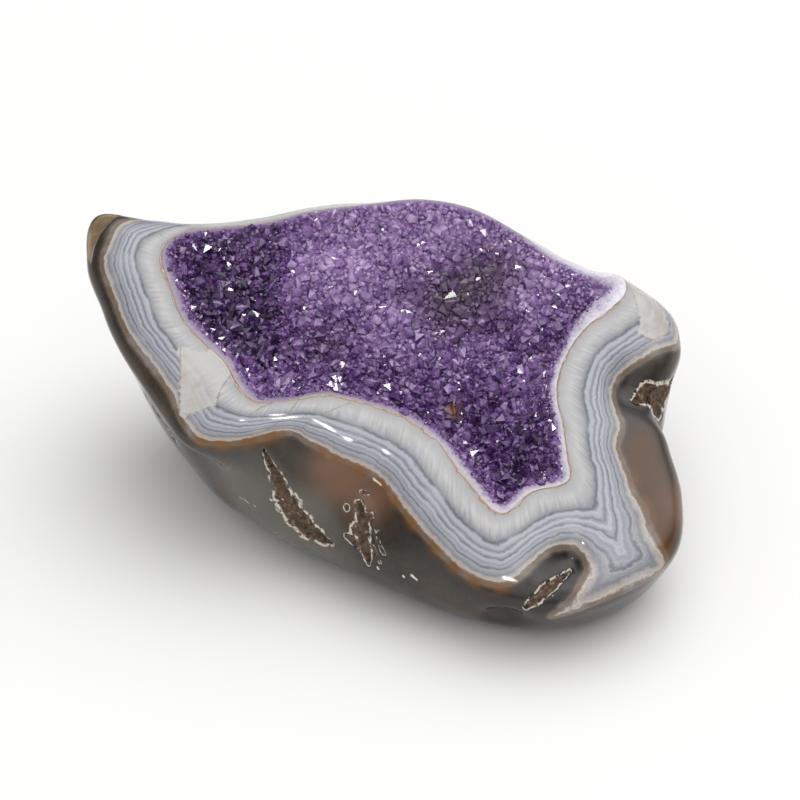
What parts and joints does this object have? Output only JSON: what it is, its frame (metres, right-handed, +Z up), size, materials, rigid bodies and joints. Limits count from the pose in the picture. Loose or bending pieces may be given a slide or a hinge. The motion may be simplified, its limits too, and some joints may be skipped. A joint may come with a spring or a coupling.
{
  "type": "amethyst cluster",
  "caption": "Polished agate geode with one raised horn, lying as an open bowl, its hollow lined with small pointed amethyst crystals.",
  "frame": {"origin": "on the flat resting face, under the bowl", "axes": "+X towards the broad lobe, opposite the raised horn; +Y towards the tall back wall; +Z up, the opening facing up and towards -Y"},
  "size_m": [0.1985, 0.15, 0.0928],
  "materials": {
    "agate": "polished",
    "amethyst": "natural crystal faces"
  },
  "bodies": {
    "root": {"agate_stone": "agate", "amethyst_crust": "amethyst"}
  },
  "joints": []
}
